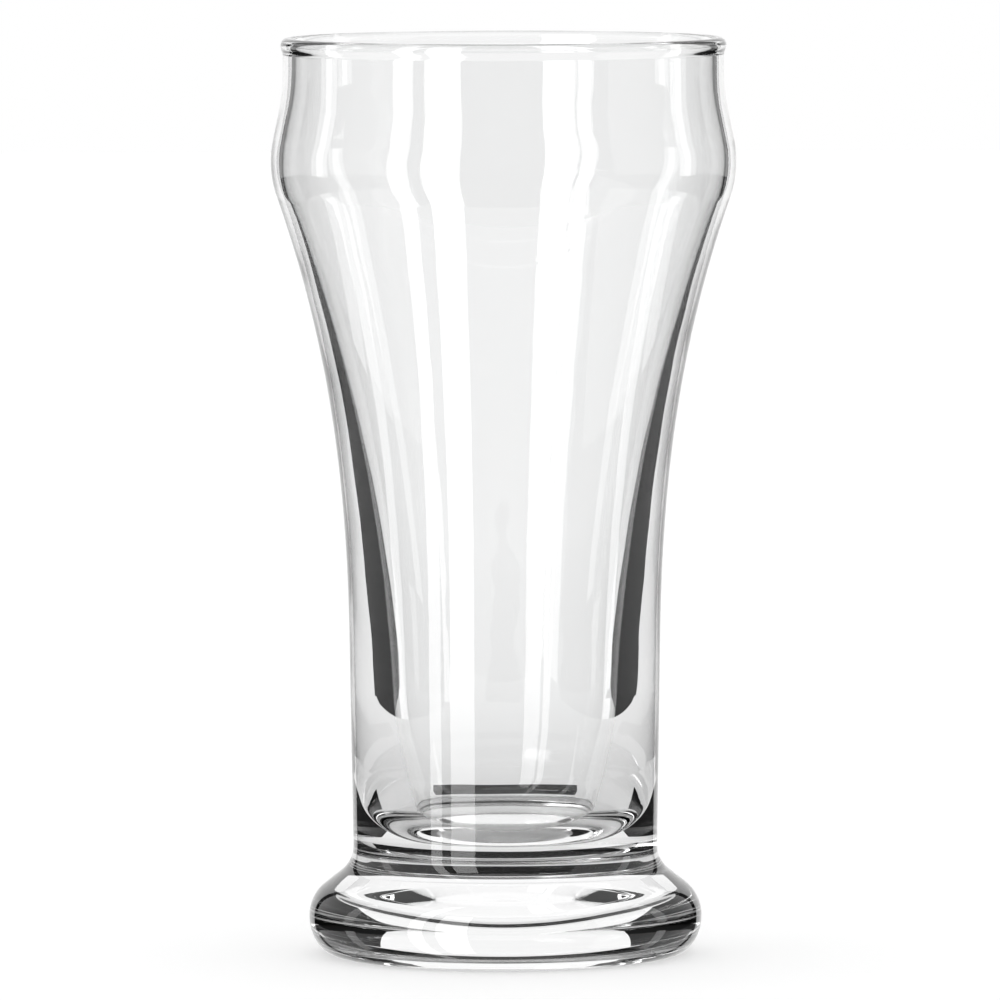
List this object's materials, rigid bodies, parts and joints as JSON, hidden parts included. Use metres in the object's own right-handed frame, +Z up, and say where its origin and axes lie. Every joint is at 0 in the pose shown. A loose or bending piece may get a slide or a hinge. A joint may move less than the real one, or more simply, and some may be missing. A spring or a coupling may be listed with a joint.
{
  "type": "pilsner glass",
  "caption": "Clear footed pilsner glass with a thick solid base, a tapering body, a bulge below an upright collar, and a fire-polished rim.",
  "frame": {"origin": "centre of the resting ring under the foot, on the table", "axes": "+Z up the axis of the glass, towards the rim; X and Y are free, because the glass is round"},
  "size_m": [0.0726, 0.0726, 0.143],
  "materials": {
    "clear_glass": "clear, smooth and fire-polished"
  },
  "bodies": {
    "root": {"foot": "clear_glass", "base_plug": "clear_glass", "bowl": "clear_glass", "rim_bead": "clear_glass"}
  },
  "joints": []
}
